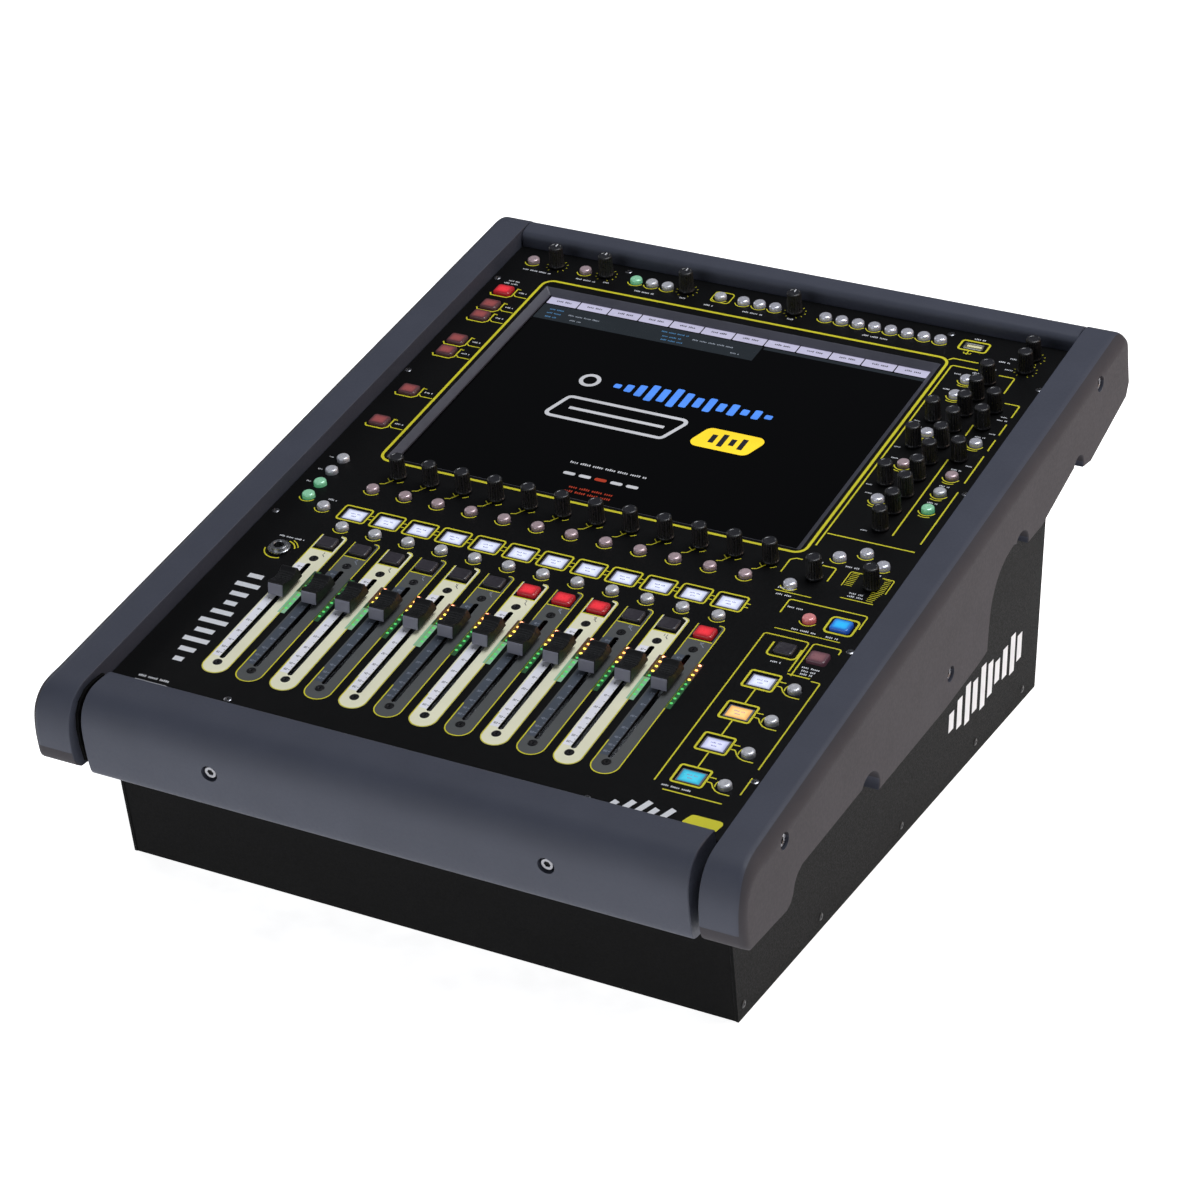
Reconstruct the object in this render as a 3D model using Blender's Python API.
"""Digital mixing console, built as an assembly of separate named pieces.

The console stands on a flat case. Its control panel slopes up towards the back, and every
control is placed on that slope by three distances: across (world X), up the slope from the
line of the lower fader screws, and lift out of the panel face. Lengths are in metres;
outlines and lists of places are in millimetres and are multiplied by MM.
"""

import math

import bmesh
import bpy
from mathutils import Matrix, Vector
from mathutils.geometry import delaunay_2d_cdt

MM = 0.001
GAP = 0.0003

# Overall form
PANEL_TILT = math.radians(10.8)
DATUM_HEIGHT = 0.1453
CHEEK_INNER_X = 0.2205
CHEEK_OUTER_X = 0.2500
SHEET = 0.0020

# Case
CASE_FRONT_UP = -0.0465
CASE_BACK_Y = 0.4750
CASE_HALF_WIDTH = 0.2202
FRONT_PLATE_TOP_LIFT = -0.0040
BACK_PANEL_TOP_Z = 0.2140
SIDE_TOP_LIFT = -0.0023
SIDE_BACK_UP = 0.5250
SIDE_OVERHANG_LIFT = -0.0356

# Faceplate
FACE_HALF_WIDTH = 0.2199
FACE_FRONT_UP = -0.0420
FACE_BACK_UP = 0.5256
FACE_THICKNESS = 0.0020

# Channels
CHANNELS = 12
CHANNEL_PITCH = 0.0254
FIRST_CHANNEL_X = -0.1610
FADER_SLOT_LOW = 0.0046
FADER_SLOT_HIGH = 0.1146
FADER_SLOT_WIDTH = 0.0032
FADER_SCREW_SPACING = 0.1207
FADER_REST_UP = 0.0840
FADER_TRAVEL_LOW = 0.0095
FADER_TRAVEL_HIGH = 0.1097
MUTE_ROW_UP = 0.1385
SELECT_ROW_UP = 0.1580
CHANNEL_DISPLAY_UP = 0.1748
ASSIGN_ROW_UP = 0.2045
ASSIGN_OFFSET_X = -0.0030
KNOB_ROW_UP = 0.2245
KNOB_OFFSET_X = 0.0060

# Controls
ROUND_KEY_RADIUS = 0.0045
SQUARE_KEY = (0.0140, 0.0120)
ROUND_KEY_LIFT = 0.0032
SQUARE_KEY_LIFT = 0.0022
KEY_CLEARANCE = 0.0005
KEY_SIDES = 8
SOCKET_SIDES = 12
MAT_TOP_LIFT = -0.0044
MAT_THICKNESS = 0.0012
KNOB_RADIUS = 0.0057
KNOB_TOP_LIFT = 0.0170
KNOB_SKIRT_LIFT = 0.0008
SHAFT_RADIUS = 0.0025
STANDING_SHAFT_RADIUS = 0.0020
SHAFT_FOOT_LIFT = -0.0024
SHAFT_HOLE_RADIUS = 0.0031
KNOB_SIDES = 10
ENCODER_TOP_LIFT = -0.0030

# Small displays and boards
SMALL_DISPLAY = (0.0170, 0.0126)
SMALL_DISPLAY_LIFT = -0.0008
BOARD_TOP_LIFT = -0.0072
BOARD_THICKNESS = 0.0016

# Main display
SCREEN_CENTRE_X = -0.0195
SCREEN_CENTRE_UP = 0.3620
SCREEN_OPENING = (0.3125, 0.2380)
SCREEN_LIP = 0.0050
BEZEL_FLANGE = 0.0060
GLASS_LIFT = -0.0055

# Places of controls in millimetres: across from the first channel's axis, up the slope
LEFT_SQUARE_KEYS = [(-41.2, up) for up in (463.8, 442.8, 427.4, 392.8, 376.6, 322.2, 280.2)]
LEFT_ROUND_KEYS = [(-41.2, up) for up in (229.6, 214.0, 198.5, 183.0)] + [(-24.6, 175.0)]
TOP_KEY_UP = 508.5
TOP_KEYS_ACROSS = [-40.0, 3.4, 45.3, 58.2, 71.0, 113.8, 132.2, 145.0, 157.5]
MACRO_KEYS_FIRST = 197.1
MACRO_KEYS_PITCH = 12.66
MACRO_KEYS = 8
TOP_KNOBS = [(-20.0, 508.0), (20.5, 509.0), (86.5, 509.0), (173.0, 508.5)]
EQ_MAIN_COLUMN_ACROSS = 337.5
EQ_MAIN_FIRST_UP = 283.2
EQ_MAIN_PITCH = 20.7
EQ_MAIN_KNOBS = 10
EQ_SIDE_KNOBS = [(319.6, 333), (319.6, 380.6), (319.6, 414.5), (355, 375.1), (355, 416.4), (355, 438.2)]
CORNER_KNOBS = [(356.0, 508.0), (356.5, 491.5)]
EQ_LEFT_KEYS = [(322.5, up) for up in (467.0, 446.5, 396.5, 356.5, 312.5)]
EQ_RIGHT_KEYS = [(358.4, up) for up in (396.0, 354.0, 333.5, 313.0)]
FUNCTION_ROUND_KEYS = [(325.8, 243.5), (341.0, 253.0), (356.5, 243.6), (308.0, 205.2), (335.2, 174.8)]
FUNCTION_SQUARE_KEYS = [(357.3, 175.4), (334.1, 140.7), (357.3, 139.6)]
BANK_DISPLAYS = [(333.5, up) for up in (106.9, 73.5, 40.1, 6.7)]
BANK_KEYS = [(356.8, up) for up in (105.0, 71.5, 38.0, 5.0)]
LOWER_KNOBS = [(319.5, 218.0), (358.4, 221.0)]
HEADPHONE_SOCKET = (-27.5, 122.0)
USB_SOCKET = (311.0, 508.5)


# ---------------------------------------------------------------- frames and materials

def slope_point(y, z):
    """Give the (up, lift) of a world (y, z) point, both measured before centring."""
    rise = z - DATUM_HEIGHT
    up = y * math.cos(PANEL_TILT) + rise * math.sin(PANEL_TILT)
    lift = -y * math.sin(PANEL_TILT) + rise * math.cos(PANEL_TILT)
    return (up, lift)


def world_y(up, lift):
    """Give the world Y of a slope point, before centring."""
    return up * math.cos(PANEL_TILT) - lift * math.sin(PANEL_TILT)


def slope_frame(across=0.0, up=0.0, lift=0.0):
    """Give the matrix of a spot on the slope: X across, Y up the slope, Z out of the panel."""
    base = Matrix.Translation((0.0, DATUM_Y, DATUM_HEIGHT)) @ Matrix.Rotation(PANEL_TILT, 4, "X")
    return base @ Matrix.Translation((across, up, lift))


def back_frame():
    """Give the matrix of the rear panel's outer face: X to the viewer's right, Y up, Z out."""
    turn = Matrix(((-1, 0, 0, 0), (0, 0, 1, 0), (0, 1, 0, 0), (0, 0, 0, 1)))
    return Matrix.Translation((0.0, CASE_BACK_Y + DATUM_Y, 0.0)) @ turn


def material(name, colour, roughness, metallic=0.0):
    """Get or make a Principled material."""
    found = bpy.data.materials.get(name)
    if found:
        return found
    made = bpy.data.materials.new(name)
    made.use_nodes = True
    shader = made.node_tree.nodes["Principled BSDF"]
    shader.inputs["Base Color"].default_value = (*colour, 1.0)
    shader.inputs["Roughness"].default_value = roughness
    shader.inputs["Metallic"].default_value = metallic
    return made


def cast_skin():
    return material("blue_grey_casting", (0.040, 0.044, 0.056), 0.50)


def black_steel():
    return material("black_steel", (0.012, 0.012, 0.013), 0.45, 0.3)


def panel_black():
    return material("panel_black", (0.010, 0.010, 0.011), 0.38)


def control_black():
    return material("control_black", (0.015, 0.015, 0.016), 0.35)


def key_silver():
    return material("key_silver", (0.50, 0.50, 0.52), 0.30, 0.4)


def key_dark():
    return material("key_dark", (0.030, 0.026, 0.028), 0.40)


def board_green():
    return material("board_green", (0.020, 0.090, 0.045), 0.50)


def bare_metal():
    return material("bare_metal", (0.45, 0.46, 0.47), 0.35, 1.0)


# ---------------------------------------------------------------- mesh building

def finish_object(name, mesh_maker, skin, matrix, smooth=False):
    """Turn a filled bmesh into a named object in its place."""
    mesh = bpy.data.meshes.new(name)
    bmesh.ops.recalc_face_normals(mesh_maker, faces=mesh_maker.faces)
    mesh_maker.to_mesh(mesh)
    mesh_maker.free()
    mesh.materials.append(skin)
    if smooth:
        mesh.shade_smooth()
        mesh.set_sharp_from_angle(angle=math.radians(40))
    return place_mesh(name, mesh, matrix)


def place_mesh(name, mesh, matrix):
    """Make an object for a mesh and set its place."""
    made = bpy.data.objects.new(name, mesh)
    bpy.context.scene.collection.objects.link(made)
    made.matrix_world = matrix
    return made


def add_ring(bm, points):
    """Add one ring of vertices."""
    return [bm.verts.new(point) for point in points]


def join_rings(bm, first, second):
    """Join two rings of the same length with quads."""
    count = len(first)
    for index in range(count):
        after = (index + 1) % count
        bm.faces.new((first[index], first[after], second[after], second[index]))


def add_stack(bm, rings):
    """Join rings one after another and close both ends."""
    made = [add_ring(bm, ring) for ring in rings]
    for first, second in zip(made, made[1:]):
        join_rings(bm, first, second)
    bm.faces.new(made[0])
    bm.faces.new(made[-1])


def circle(radius, sides, centre=(0.0, 0.0)):
    """Give the flat points of a regular polygon, with a flat side facing each axis."""
    step = math.tau / sides
    angles = [step * (index + 0.5) for index in range(sides)]
    return [(centre[0] + radius * math.cos(a), centre[1] + radius * math.sin(a)) for a in angles]


def rectangle(width, length, centre=(0.0, 0.0)):
    """Give the corners of a flat rectangle."""
    half_x = width / 2
    half_y = length / 2
    corners = ((-half_x, -half_y), (half_x, -half_y), (half_x, half_y), (-half_x, half_y))
    return [(centre[0] + x, centre[1] + y) for x, y in corners]


def at_height(points, height):
    """Lift flat points to one height."""
    return [(x, y, height) for x, y in points]


def prism(name, profile, x_low, x_high, skin, smooth=False):
    """Extrude an (up, lift) profile across the console."""
    bm = bmesh.new()
    rings = [[(x, up, lift) for up, lift in profile] for x in (x_low, x_high)]
    add_stack(bm, rings)
    return finish_object(name, bm, skin, slope_frame(), smooth)


def level_box(name, low, high, skin):
    """Make a box with faces along the world axes; low and high are before centring."""
    bm = bmesh.new()
    flat = [(low[0], low[1]), (high[0], low[1]), (high[0], high[1]), (low[0], high[1])]
    add_stack(bm, [at_height(flat, low[2]), at_height(flat, high[2])])
    return finish_object(name, bm, skin, Matrix.Translation((0.0, DATUM_Y, 0.0)))


def turned(name, profile, sides, skin, matrix):
    """Make a solid round piece from (radius, lift) steps, bottom to top."""
    bm = bmesh.new()
    add_stack(bm, [at_height(circle(radius, sides), lift) for radius, lift in profile])
    return finish_object(name, bm, skin, matrix, smooth=True)


def fill_face(bm, loops):
    """Fill the flat region inside the first loop and outside the others, which are convex."""
    corners = []
    edges = []
    loop_of_corner = []
    for number, loop in enumerate(loops):
        start = len(corners)
        count = len(loop)
        corners.extend(Vector(vert.co.xy) for vert in loop)
        edges.extend((start + i, start + (i + 1) % count) for i in range(count))
        loop_of_corner.extend([number] * count)
    flat_verts = [vert for loop in loops for vert in loop]
    filled = delaunay_2d_cdt(corners, edges, [], 1, 1e-9)
    sources = filled[3]
    for face in filled[2]:
        picked = [sources[index][0] for index in face]
        owners = {loop_of_corner[index] for index in picked}
        inside_hole = len(owners) == 1 and 0 not in owners
        if not inside_hole:
            bm.faces.new([flat_verts[index] for index in picked])


def stepped_plate(name, outline, low, high, skin, matrix, holes=(), bosses=()):
    """Make a flat plate with through holes and raised bosses as one closed body.

    holes are flat loops. A boss is a list of (loop, height) steps; its first loop lies on
    the plate's top face and its last one is its own top.
    """
    bm = bmesh.new()
    bottom = add_ring(bm, at_height(outline, low))
    top = add_ring(bm, at_height(outline, high))
    join_rings(bm, bottom, top)
    bottom_loops = [bottom]
    top_loops = [top]
    for hole in holes:
        hole_bottom = add_ring(bm, at_height(hole, low))
        hole_top = add_ring(bm, at_height(hole, high))
        join_rings(bm, hole_bottom, hole_top)
        bottom_loops.append(hole_bottom)
        top_loops.append(hole_top)
    for boss in bosses:
        rings = [add_ring(bm, at_height(loop, height)) for loop, height in boss]
        for first, second in zip(rings, rings[1:]):
            join_rings(bm, first, second)
        bm.faces.new(rings[-1])
        top_loops.append(rings[0])
    fill_face(bm, bottom_loops)
    fill_face(bm, top_loops)
    return finish_object(name, bm, skin, matrix)


# ---------------------------------------------------------------- places on the panel

def channel_x(index):
    """Give the X of a channel's fader axis; the first channel is 0."""
    return FIRST_CHANNEL_X + index * CHANNEL_PITCH


def placed(points):
    """Turn places in millimetres from the first channel into panel positions."""
    return [(FIRST_CHANNEL_X + across * MM, up * MM) for across, up in points]


def channel_row(up, offset=0.0):
    """Give one place on every channel."""
    return [(channel_x(index) + offset, up) for index in range(CHANNELS)]


def top_keys():
    """Give the places of the round keys along the top edge."""
    macros = [MACRO_KEYS_FIRST + MACRO_KEYS_PITCH * index for index in range(MACRO_KEYS)]
    return placed([(across, TOP_KEY_UP) for across in TOP_KEYS_ACROSS + macros])


def eq_knobs():
    """Give the places of the knobs on the right control board."""
    column = [(EQ_MAIN_COLUMN_ACROSS, EQ_MAIN_FIRST_UP + EQ_MAIN_PITCH * i) for i in range(EQ_MAIN_KNOBS)]
    return placed(column + EQ_SIDE_KNOBS + CORNER_KNOBS)


def square_loop(centre, grow=0.0):
    return rectangle(SQUARE_KEY[0] + grow, SQUARE_KEY[1] + grow, centre)


def round_key_boss(centre):
    """Give the boss of a round key with a softened rim."""
    rim = 0.0007
    body = circle(ROUND_KEY_RADIUS, KEY_SIDES, centre)
    return [(body, MAT_TOP_LIFT), (body, ROUND_KEY_LIFT - rim),
            (circle(ROUND_KEY_RADIUS - rim, KEY_SIDES, centre), ROUND_KEY_LIFT)]


def square_key_boss(centre):
    return [(square_loop(centre), MAT_TOP_LIFT), (square_loop(centre), SQUARE_KEY_LIFT)]


# ---------------------------------------------------------------- case

def make_case():
    inner_x = CASE_HALF_WIDTH - SHEET - GAP
    front_up = CASE_FRONT_UP + 0.0004
    back_inner_y = CASE_BACK_Y - SHEET

    def floor_lift(up):
        return -(DATUM_HEIGHT + up * math.sin(PANEL_TILT)) / math.cos(PANEL_TILT)

    front = [(front_up, floor_lift(front_up)), (front_up + SHEET, floor_lift(front_up + SHEET)),
             (front_up + SHEET, FRONT_PLATE_TOP_LIFT), (front_up, FRONT_PLATE_TOP_LIFT)]
    prism("front_plate", front, -inner_x, inner_x, black_steel())

    front_inner_y = world_y(front_up + SHEET, floor_lift(front_up + SHEET)) + GAP
    level_box("bottom_plate", (-inner_x, front_inner_y, 0.0),
              (inner_x, back_inner_y - GAP, SHEET), black_steel())

    tongue = [(-46.5, -50.5), (-72, -45), (-77, -40), (-78.5, -26), (-78.3, -12), (-76, -3),
              (-71, 3.5), (-63, 7.5), (-55, 7.8), (-43, 6)]
    side = [slope_point(world_y(CASE_FRONT_UP, floor_lift(CASE_FRONT_UP)), 0.0)]
    side += [(up * MM, lift * MM) for up, lift in tongue]
    side += [(-0.0430, SIDE_TOP_LIFT), (SIDE_BACK_UP, SIDE_TOP_LIFT), (SIDE_BACK_UP, SIDE_OVERHANG_LIFT)]
    wall_up = (CASE_BACK_Y + SIDE_OVERHANG_LIFT * math.sin(PANEL_TILT)) / math.cos(PANEL_TILT)
    side += [(wall_up, SIDE_OVERHANG_LIFT), slope_point(CASE_BACK_Y, 0.0)]
    prism("left_side_plate", side, -CASE_HALF_WIDTH, -CASE_HALF_WIDTH + SHEET, black_steel())
    prism("right_side_plate", side, CASE_HALF_WIDTH - SHEET, CASE_HALF_WIDTH, black_steel())


# Rear connectors: places on the rear panel in millimetres, X to the viewer's right, Y up
INPUT_COLUMNS = 8
INPUT_ROWS = 2
INPUT_PITCH = 30.0
INPUT_FIRST = (-40.0, 110.0)
INPUT_RADIUS = 11.0
LINK_SOCKETS = [(-192.0 + 20.0 * index, 145.0) for index in range(4)]
LINK_RADIUS = 5.0
NETWORK_SOCKETS = [(-182.0, 105.0), (-152.0, 105.0)]
NETWORK_SIZE = (15.0, 13.0)
NETWORK_CAVITY = (12.0, 9.0)
MAINS_CENTRE = (-170.0, 40.0)
MAINS_SIZE = (27.0, 20.0)
VENT_SLOTS = 9
VENT_FIRST_X = 20.0
VENT_PITCH = 9.0
VENT_SIZE = (3.0, 50.0)
VENT_Y = 45.0


def scaled(pair):
    return (pair[0] * MM, pair[1] * MM)


def input_places():
    return [(INPUT_FIRST[0] + INPUT_PITCH * column, INPUT_FIRST[1] + 35.0 * row)
            for row in range(INPUT_ROWS) for column in range(INPUT_COLUMNS)]


def make_back():
    inner_x = CASE_HALF_WIDTH - SHEET - GAP
    outline = [(-inner_x, 0.0), (inner_x, 0.0), (inner_x, BACK_PANEL_TOP_Z), (-inner_x, BACK_PANEL_TOP_Z)]
    clear = 0.5
    sides = 10
    holes = [circle((INPUT_RADIUS + clear) * MM, sides, scaled(place)) for place in input_places()]
    holes += [circle((LINK_RADIUS + clear) * MM, KEY_SIDES, scaled(place)) for place in LINK_SOCKETS]
    for place in NETWORK_SOCKETS:
        holes.append(rectangle((NETWORK_SIZE[0] + clear) * MM, (NETWORK_SIZE[1] + clear) * MM, scaled(place)))
    holes.append(rectangle((MAINS_SIZE[0] + clear) * MM, (MAINS_SIZE[1] + clear) * MM, scaled(MAINS_CENTRE)))
    for index in range(VENT_SLOTS):
        holes.append(rectangle(VENT_SIZE[0] * MM, VENT_SIZE[1] * MM,
                               ((VENT_FIRST_X + VENT_PITCH * index) * MM, VENT_Y * MM)))
    stepped_plate("rear_panel", outline, -SHEET, 0.0, black_steel(), back_frame(), holes=holes)
    make_socket_board(sides)
    make_mains_inlet()


def make_socket_board(sides):
    """Make the board that carries the rear sockets, as one body with them."""
    low = -0.0156
    high = -0.0140
    outline = [scaled(p) for p in ((-205, 90), (188, 90), (188, 162), (-205, 162))]
    bosses = []
    for place in input_places():
        loop = circle(INPUT_RADIUS * MM, sides, scaled(place))
        bosses.append([(loop, high), (loop, 0.0012)])
    for place in LINK_SOCKETS:
        body = circle(LINK_RADIUS * MM, KEY_SIDES, scaled(place))
        tip = circle(4.0 * MM, KEY_SIDES, scaled(place))
        bosses.append([(body, high), (body, 0.0030), (tip, 0.0030), (tip, 0.0100)])
    for place in NETWORK_SOCKETS:
        shell = rectangle(NETWORK_SIZE[0] * MM, NETWORK_SIZE[1] * MM, scaled(place))
        cavity = rectangle(NETWORK_CAVITY[0] * MM, NETWORK_CAVITY[1] * MM, scaled(place))
        bosses.append([(shell, high), (shell, 0.0012), (cavity, 0.0012), (cavity, high + 0.0014)])
    stepped_plate("rear_socket_board", outline, low, high, board_green(), back_frame(), bosses=bosses)


def make_mains_inlet():
    """Make the recessed mains inlet."""
    bm = bmesh.new()
    flange = rectangle((MAINS_SIZE[0] + 4) * MM, (MAINS_SIZE[1] + 4) * MM)
    body = rectangle(MAINS_SIZE[0] * MM, MAINS_SIZE[1] * MM)
    mouth = rectangle((MAINS_SIZE[0] - 3) * MM, (MAINS_SIZE[1] - 3) * MM)
    steps = [(body, -0.024), (body, GAP), (flange, GAP), (flange, 0.0025), (mouth, 0.0025), (mouth, -0.018)]
    add_stack(bm, [at_height(loop, height) for loop, height in steps])
    place = Matrix.Translation((MAINS_CENTRE[0] * MM, MAINS_CENTRE[1] * MM, 0.0))
    finish_object("mains_inlet", bm, control_black(), back_frame() @ place)


# ---------------------------------------------------------------- cheeks and rails

def scoop(front_lip, back_lip, depth, steps=6):
    """Give the points of a rounded notch between two lips, back lip first."""
    middle = ((front_lip[0] + back_lip[0]) / 2, (front_lip[1] + back_lip[1]) / 2)
    half = (back_lip[0] - middle[0], back_lip[1] - middle[1])
    reach = math.hypot(*half)
    into = (-half[1] / reach * depth, half[0] / reach * depth)
    points = []
    for index in range(steps + 1):
        angle = math.pi * index / steps
        along = math.cos(angle)
        away = math.sin(angle)
        points.append((middle[0] + half[0] * along + into[0] * away,
                       middle[1] + half[1] * along + into[1] * away))
    return points


def cheek_outline():
    """Give (up, lift, edge radius) round the cheek in millimetres, from the back underside."""
    sharp = 0.8
    back_and_top = [(551.6, -33, 3), (551.4, 0.5, 6), (549.5, 6, 8), (545, 10.4, 9), (538, 12.4, 10),
                    (-52, 12.4, 10), (-62, 12.1, 9), (-70, 10.2, 8), (-77, 5.5, 7), (-82, -1.5, 6),
                    (-85, -10, 6), (-86.4, -20, 6), (-86.5, -31, 6), (-84.5, -38, 4), (-79.5, -43, 2)]
    nose_foot = [(-30.2, -52.4), (-24.5, -51), (-20.5, -47), (-17.5, -41), (-13, -37), (-6, -35.2)]
    first_notch = reversed(scoop((81.7, -45.3), (105.5, -63.5), 12))
    belly = [(209.5, -77.3), (272.2, -81.7), (283.4, -81.2)]
    arch = [(286, -69.4), (291.1, -52), (297, -42.5), (306, -34.5), (319, -29.4), (333, -28.2)]
    second_notch = reversed(scoop((337, -30.5), (357.1, -42.7), 9))
    middle_lug = [(382.5, -45.6), (440, -37.6)]
    third_notch = reversed(scoop((442.3, -37.4), (459.8, -47.3), 9))
    back_lug = [(474.4, -51.6), (543.8, -41.1)]
    underside = nose_foot
    for run in (first_notch, belly, arch, second_notch, middle_lug, third_notch, back_lug):
        underside = underside + list(run)
    return back_and_top + [(up, lift, sharp) for up, lift in underside]


def centring_shift():
    """Give the Y shift that puts the middle of the cheeks' length at zero."""
    reach = [world_y(up * MM, lift * MM) for up, lift, _ in cheek_outline()]
    return -(min(reach) + max(reach)) / 2


def inward_normals(points):
    """Give the unit normal that points into a closed outline at each corner."""
    area = sum(a[0] * b[1] - b[0] * a[1] for a, b in zip(points, points[1:] + points[:1]))
    turn = 1.0 if area > 0 else -1.0
    normals = []
    for index in range(len(points)):
        before = Vector(points[index]) - Vector(points[index - 1])
        after = Vector(points[(index + 1) % len(points)]) - Vector(points[index])
        along = before.normalized() + after.normalized()
        normal = Vector((-along.y, along.x)) * turn
        normals.append(normal.normalized())
    return normals


def make_cheek(name, side):
    """Make one cheek: a slab whose outer edge is rounded along the top, nose and back."""
    outline = cheek_outline()
    flat = [(up, lift) for up, lift, _ in outline]
    normals = inward_normals(flat)
    bm = bmesh.new()
    rings = [[(side * CHEEK_INNER_X, up * MM, lift * MM) for up, lift in flat]]
    for angle in (0.0, math.pi / 6, math.pi / 3, math.pi / 2):
        ring = []
        for (up, lift, radius), normal in zip(outline, normals):
            inset = radius * (1 - math.cos(angle))
            depth = radius * (1 - math.sin(angle))
            ring.append((side * (CHEEK_OUTER_X - depth * MM),
                         (up + normal.x * inset) * MM, (lift + normal.y * inset) * MM))
        rings.append(ring)
    add_stack(bm, rings)
    finish_object(name, bm, cast_skin(), slope_frame(), smooth=True)


FRONT_RAIL_HALF_WIDTH = 0.2130
BACK_RAIL_HALF_WIDTH = 0.2200


def make_rails():
    front = [(-42.4, -3.6), (-42.4, 7), (-43.6, 9.2), (-47, 10.5), (-58, 12), (-66, 11.6), (-72, 9.2),
             (-77, 5), (-80.5, -1.5), (-82.3, -10), (-82.7, -22), (-82.4, -34), (-81.6, -42),
             (-79.5, -46), (-76, -48), (-46.9, -53.5), (-46.9, -3.6)]
    prism("front_rail", [scaled(point) for point in front],
          -FRONT_RAIL_HALF_WIDTH, FRONT_RAIL_HALF_WIDTH, cast_skin(), smooth=True)
    back = [(526, -35.9), (526, 5), (527.5, 9), (531.5, 11.5), (540, 12), (545.5, 9.5), (549, 5),
            (550, -1), (550, -30), (547.5, -35.5), (542, -37.9), (478.2, -37.9), (478.2, -35.9)]
    prism("rear_rail", [scaled(point) for point in back],
          -BACK_RAIL_HALF_WIDTH, BACK_RAIL_HALF_WIDTH, cast_skin(), smooth=True)


# ---------------------------------------------------------------- faceplate and display

def make_faceplate():
    outline = [(-FACE_HALF_WIDTH, FACE_FRONT_UP), (FACE_HALF_WIDTH, FACE_FRONT_UP),
               (FACE_HALF_WIDTH, FACE_BACK_UP), (-FACE_HALF_WIDTH, FACE_BACK_UP)]
    slot_length = FADER_SLOT_HIGH - FADER_SLOT_LOW
    slot_middle = (FADER_SLOT_HIGH + FADER_SLOT_LOW) / 2
    holes = [rectangle(*SCREEN_OPENING, (SCREEN_CENTRE_X, SCREEN_CENTRE_UP))]
    holes += [rectangle(FADER_SLOT_WIDTH, slot_length, place) for place in channel_row(slot_middle)]
    window = (SMALL_DISPLAY[0] + 2 * GAP, SMALL_DISPLAY[1] + 2 * GAP)
    holes += [rectangle(*window, place) for place in channel_row(CHANNEL_DISPLAY_UP) + placed(BANK_DISPLAYS)]
    squares = channel_row(MUTE_ROW_UP) + placed(LEFT_SQUARE_KEYS + FUNCTION_SQUARE_KEYS)
    holes += [square_loop(place, 2 * KEY_CLEARANCE) for place in squares]
    rounds = channel_row(SELECT_ROW_UP) + channel_row(ASSIGN_ROW_UP, ASSIGN_OFFSET_X) + top_keys()
    rounds += placed(LEFT_ROUND_KEYS + EQ_LEFT_KEYS + EQ_RIGHT_KEYS + FUNCTION_ROUND_KEYS + BANK_KEYS)
    holes += [circle(ROUND_KEY_RADIUS + KEY_CLEARANCE, KEY_SIDES, place) for place in rounds]
    shafts = channel_row(KNOB_ROW_UP, KNOB_OFFSET_X) + placed(TOP_KNOBS + LOWER_KNOBS) + eq_knobs()
    holes += [circle(SHAFT_HOLE_RADIUS, KEY_SIDES, place) for place in shafts]
    holes.append(circle(0.0054, SOCKET_SIDES, placed([HEADPHONE_SOCKET])[0]))
    holes.append(rectangle(0.0148, 0.0074, placed([USB_SOCKET])[0]))
    stepped_plate("faceplate", outline, -FACE_THICKNESS, 0.0, panel_black(), slope_frame(), holes=holes)


def make_display():
    centre = (SCREEN_CENTRE_X, SCREEN_CENTRE_UP)
    steps = [(-GAP, -GAP), (-SCREEN_LIP, -0.0038), (-SCREEN_LIP, -0.0052), (BEZEL_FLANGE, -0.0052),
             (BEZEL_FLANGE, -0.0023), (-GAP, -0.0023)]
    bm = bmesh.new()
    rings = []
    for grow, lift in steps:
        loop = rectangle(SCREEN_OPENING[0] + 2 * grow, SCREEN_OPENING[1] + 2 * grow, centre)
        rings.append(add_ring(bm, at_height(loop, lift)))
    for first, second in zip(rings, rings[1:] + rings[:1]):
        join_rings(bm, first, second)
    finish_object("display_bezel", bm, material("bezel_grey", (0.10, 0.10, 0.12), 0.5), slope_frame())

    glass = rectangle(SCREEN_OPENING[0] + 0.006, SCREEN_OPENING[1] + 0.006, centre)
    stepped_plate("display_glass", glass, GLASS_LIFT - 0.0015, GLASS_LIFT,
                  material("screen_glass", (0.01, 0.01, 0.012), 0.08), slope_frame())
    module = rectangle(SCREEN_OPENING[0] + 0.004, SCREEN_OPENING[1] + 0.001, centre)
    stepped_plate("display_module", module, -0.0190, GLASS_LIFT - 0.0018, bare_metal(), slope_frame())


# ---------------------------------------------------------------- boards and inner units

def encoder_boss(centre):
    loop = rectangle(0.012, 0.012, centre)
    return [(loop, BOARD_TOP_LIFT), (loop, ENCODER_TOP_LIFT)]


def small_display_boss(centre):
    loop = rectangle(*SMALL_DISPLAY, centre)
    return [(loop, BOARD_TOP_LIFT), (loop, SMALL_DISPLAY_LIFT)]


def standing_knob_boss(centre):
    """Give the boss of an encoder whose knob is drawn in one piece with its board."""
    sides = KEY_SIDES
    shaft = circle(STANDING_SHAFT_RADIUS, sides, centre)
    return [(shaft, BOARD_TOP_LIFT), (shaft, KNOB_SKIRT_LIFT),
            (circle(KNOB_RADIUS, sides, centre), KNOB_SKIRT_LIFT),
            (circle(KNOB_RADIUS - 0.0003, sides, centre), KNOB_TOP_LIFT)]


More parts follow.
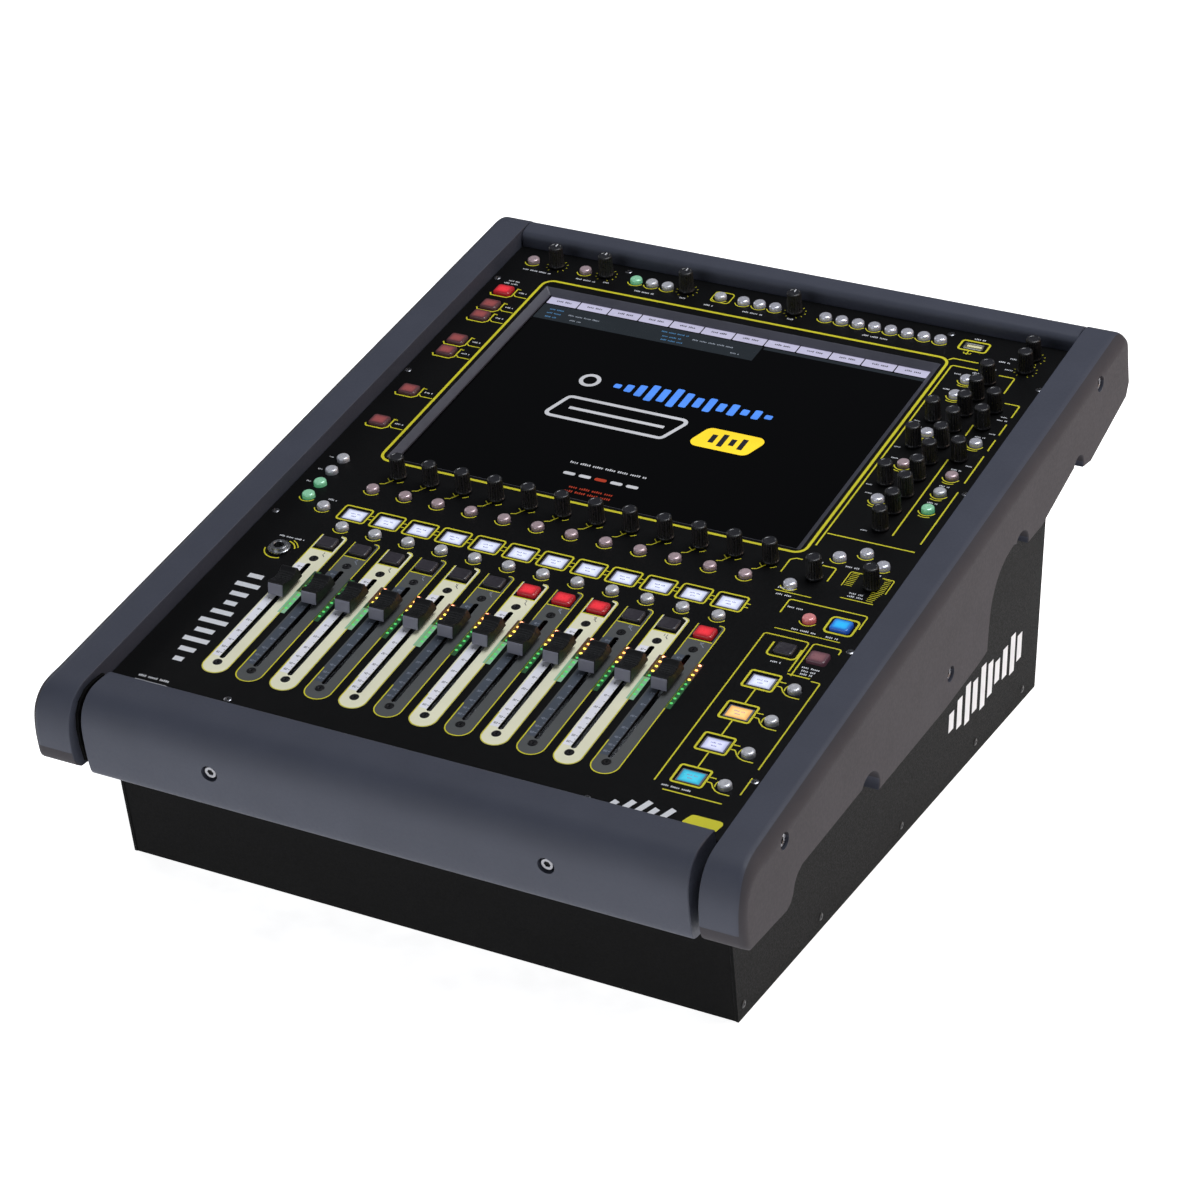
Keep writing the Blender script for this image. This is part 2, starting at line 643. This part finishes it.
def make_boards():
    low = BOARD_TOP_LIFT - BOARD_THICKNESS
    first_x = channel_x(0)
    last_x = channel_x(CHANNELS - 1)
    outline = [(first_x - 0.016, 0.1300), (last_x + 0.016, 0.1300), (last_x + 0.016, 0.2315),
               (first_x - 0.016, 0.2315)]
    bosses = [small_display_boss(place) for place in channel_row(CHANNEL_DISPLAY_UP)]
    bosses += [encoder_boss(place) for place in channel_row(KNOB_ROW_UP, KNOB_OFFSET_X)]
    stepped_plate("channel_control_board", outline, low, BOARD_TOP_LIFT, board_green(), slope_frame(),
                  bosses=bosses)

    outline = [(0.1495, -0.0120), (0.2150, -0.0120), (0.2150, 0.5180), (0.1680, 0.5180),
               (0.1680, 0.4700), (0.1495, 0.4700)]
    bosses = [small_display_boss(place) for place in placed(BANK_DISPLAYS)]
    bosses += [standing_knob_boss(place) for place in eq_knobs()]
    stepped_plate("right_control_board", outline, low, BOARD_TOP_LIFT, board_green(), slope_frame(),
                  bosses=bosses)


def make_fader_bank():
    """Make the twelve fader tracks on their mounting plate as one comb-shaped body."""
    wall = 0.0012
    inner = 0.0040
    top = -0.0040
    floor = -0.0140
    plate_low = -0.0160
    edge = channel_x(0) - 0.012
    far_edge = channel_x(CHANNELS - 1) + 0.012
    comb = [(edge, plate_low), (edge, floor)]
    for index in range(CHANNELS):
        x = channel_x(index)
        comb += [(x - inner - wall, floor), (x - inner - wall, top), (x - inner, top), (x - inner, floor),
                 (x + inner, floor), (x + inner, top), (x + inner + wall, top), (x + inner + wall, floor)]
    comb += [(far_edge, floor), (far_edge, plate_low)]
    bm = bmesh.new()
    add_stack(bm, [[(x, up, lift) for x, lift in comb] for up in (-0.008, 0.127)])
    finish_object("fader_bank", bm, bare_metal(), slope_frame())


def make_inner_units():
    bm_outline = rectangle(0.300, 0.200, (-0.03, 0.190))
    chips = [[(rectangle(0.030, 0.030, place), 0.0216), (rectangle(0.030, 0.030, place), 0.0250)]
             for place in ((-0.10, 0.150), (-0.04, 0.150), (0.02, 0.150))]
    shift = Matrix.Translation((0.0, DATUM_Y, 0.0))
    stepped_plate("main_board", bm_outline, 0.0200, 0.0216, board_green(), shift, bosses=chips)
    level_box("power_supply", (0.090, 0.330, SHEET + GAP), (0.190, 0.440, 0.050), bare_metal())


# ---------------------------------------------------------------- sockets on the panel

def make_panel_sockets():
    """Make the headphone socket with its nut, and the USB socket."""
    place = placed([HEADPHONE_SOCKET])[0]
    bore = 0.0034
    steps = [(0.0050, -0.0160), (0.0050, GAP), (0.0078, GAP), (0.0078, 0.0022), (0.0055, 0.0022),
             (0.0055, 0.0040), (bore, 0.0040), (bore, -0.0140)]
    bm = bmesh.new()
    add_stack(bm, [at_height(circle(radius, SOCKET_SIDES), lift) for radius, lift in steps])
    finish_object("headphone_socket", bm, bare_metal(), slope_frame(*place))

    shell = rectangle(0.0142, 0.0068)
    mouth = rectangle(0.0125, 0.0052)
    steps = [(shell, -0.0180), (shell, 0.0006), (mouth, 0.0006), (mouth, -0.0150)]
    bm = bmesh.new()
    add_stack(bm, [at_height(loop, lift) for loop, lift in steps])
    finish_object("usb_socket", bm, bare_metal(), slope_frame(*placed([USB_SOCKET])[0]))


# ---------------------------------------------------------------- moving controls

def fader_cap_mesh():
    """Make the mesh of a fader cap with its lever; local Y runs up the slope."""
    half_width = 0.0065
    seat = 0.0030
    crown = [(-13, 4.5), (-8.6, 12), (-6.5, 12.2), (-3, 10.6), (0, 10.2), (3, 10.6), (7.5, 12.6),
             (9.5, 12.2), (13, 4.5)]
    half_length = 0.0130
    lever = (0.0010, 0.0035)
    lever_foot = -0.0110
    profile = [(-half_length, seat)] + [scaled(point) for point in crown] + [(half_length, seat)]
    bm = bmesh.new()
    left = add_ring(bm, [(-half_width, up, lift) for up, lift in profile])
    right = add_ring(bm, [(half_width, up, lift) for up, lift in profile])
    for index in range(len(profile) - 1):
        bm.faces.new((left[index], left[index + 1], right[index + 1], right[index]))
    bm.faces.new(left)
    bm.faces.new(right)
    seat_ring = [left[0], right[0], right[-1], left[-1]]
    top = add_ring(bm, at_height(rectangle(2 * lever[0], 2 * lever[1]), seat))
    foot = add_ring(bm, at_height(rectangle(2 * lever[0], 2 * lever[1]), lever_foot))
    join_rings(bm, seat_ring, top)
    join_rings(bm, top, foot)
    bm.faces.new(foot)
    bmesh.ops.recalc_face_normals(bm, faces=bm.faces)
    mesh = bpy.data.meshes.new("fader_cap")
    bm.to_mesh(mesh)
    bm.free()
    mesh.materials.append(control_black())
    return mesh


def make_faders():
    mesh = fader_cap_mesh()
    for index in range(CHANNELS):
        place_mesh(f"fader_cap_{index + 1:02d}", mesh, slope_frame(channel_x(index), FADER_REST_UP))


KNOB_PROFILE = [(SHAFT_RADIUS, SHAFT_FOOT_LIFT), (SHAFT_RADIUS, KNOB_SKIRT_LIFT),
                (KNOB_RADIUS, KNOB_SKIRT_LIFT), (KNOB_RADIUS - 0.0003, KNOB_TOP_LIFT)]


def make_knobs():
    for index, place in enumerate(channel_row(KNOB_ROW_UP, KNOB_OFFSET_X)):
        turned(f"channel_knob_{index + 1:02d}", KNOB_PROFILE, KNOB_SIDES, control_black(), slope_frame(*place))
    names = ("headphone_level_knob", "talkback_level_knob", "solo_one_level_knob", "solo_two_level_knob")
    for name, place in zip(names, placed(TOP_KNOBS)):
        turned(name, KNOB_PROFILE, KNOB_SIDES, control_black(), slope_frame(*place))
    for name, place in zip(("scroll_knob", "value_knob"), placed(LOWER_KNOBS)):
        turned(name, KNOB_PROFILE, KNOB_SIDES, control_black(), slope_frame(*place))


def key_mat(name, outline, rounds, squares, skin, shafts=()):
    """Make a row of keys on the rubber mat that carries them, holed where a knob's shaft passes."""
    bosses = [round_key_boss(place) for place in rounds] + [square_key_boss(place) for place in squares]
    holes = [circle(SHAFT_HOLE_RADIUS + GAP, KEY_SIDES, place) for place in shafts]
    stepped_plate(name, outline, MAT_TOP_LIFT - MAT_THICKNESS, MAT_TOP_LIFT, skin, slope_frame(),
                  holes=holes, bosses=bosses)


def strip_around(places, margin_x, margin_up):
    """Give a rectangle round a set of places."""
    xs = [x for x, _ in places]
    ups = [up for _, up in places]
    return [(min(xs) - margin_x, min(ups) - margin_up), (max(xs) + margin_x, min(ups) - margin_up),
            (max(xs) + margin_x, max(ups) + margin_up), (min(xs) - margin_x, max(ups) + margin_up)]


def make_keys():
    rim = 0.0006
    round_margin = ROUND_KEY_RADIUS + rim
    wide = SQUARE_KEY[0] / 2 + rim
    long = SQUARE_KEY[1] / 2 + rim
    for name, up, offset in (("assign_keys", ASSIGN_ROW_UP, ASSIGN_OFFSET_X), ("select_keys", SELECT_ROW_UP, 0.0)):
        places = channel_row(up, offset)
        key_mat(name, strip_around(places, round_margin, round_margin), places, [], key_silver())
    places = channel_row(MUTE_ROW_UP)
    key_mat("mute_keys", strip_around(places, wide, long), [], places, key_dark())

    squares = placed(LEFT_SQUARE_KEYS)
    rounds = placed(LEFT_ROUND_KEYS)
    elbow_x = rounds[-1][0] + round_margin
    column_left = squares[0][0] - wide
    column_right = squares[0][0] + wide
    foot = rounds[-1][1] - round_margin
    step = rounds[-1][1] + round_margin
    outline = [(column_left, foot), (elbow_x, foot), (elbow_x, step), (column_right, step),
               (column_right, squares[0][1] + long), (column_left, squares[0][1] + long)]
    key_mat("left_keys", outline, rounds, squares, key_dark())

    places = top_keys()
    key_mat("top_keys", strip_around(places, round_margin, round_margin), places, [], key_silver(),
            shafts=placed(TOP_KNOBS))

    left = placed(EQ_LEFT_KEYS)
    right = placed(EQ_RIGHT_KEYS)
    bridge = (0.3090, 0.3160)
    left_edge = left[0][0] - 0.0071
    left_inner = left[0][0] + round_margin
    right_inner = right[0][0] - 0.0074
    right_edge = right[0][0] + round_margin
    left_foot = bridge[0] - 0.0018
    right_foot = left_foot
    left_top = left[0][1] + round_margin
    right_top = right[0][1] + round_margin
    outline = [(left_edge, left_foot), (left_inner, left_foot), (left_inner, bridge[0]),
               (right_inner, bridge[0]), (right_inner, right_foot), (right_edge, right_foot),
               (right_edge, right_top), (right_inner, right_top), (right_inner, bridge[1]),
               (left_inner, bridge[1]), (left_inner, left_top), (left_edge, left_top)]
    side_knobs = placed(EQ_SIDE_KNOBS)
    crossed = [place for place in side_knobs if place[0] < left_inner or place[1] < right_top]
    key_mat("equaliser_keys", outline, left + right, [], key_silver(), shafts=crossed)

    function_spine = [(326.5, 133.5), (364.9, 133.5), (364.9, 147.5), (342.0, 147.5), (342.0, 168.6),
                      (364.9, 168.6), (364.9, 182.2), (342.0, 182.2), (342.0, 238), (361.7, 238),
                      (361.7, 258.2), (320.6, 258.2), (320.6, 238), (332, 238), (332, 210.4),
                      (302.8, 210.4), (302.8, 200), (330.0, 200), (330.0, 148.2), (326.5, 148.2)]
    key_mat("function_keys", placed(function_spine), placed(FUNCTION_ROUND_KEYS),
            placed(FUNCTION_SQUARE_KEYS), key_dark())

    places = placed(BANK_KEYS)
    key_mat("bank_keys", strip_around(places, round_margin, round_margin), places, [], key_silver())


# ---------------------------------------------------------------- build

for old in list(bpy.data.objects):
    bpy.data.objects.remove(old, do_unlink=True)

DATUM_Y = centring_shift()
make_case()
make_back()
make_cheek("left_cheek", -1)
make_cheek("right_cheek", 1)
make_rails()
make_faceplate()
make_display()
make_boards()
make_fader_bank()
make_inner_units()
make_panel_sockets()
make_faders()
make_knobs()
make_keys()
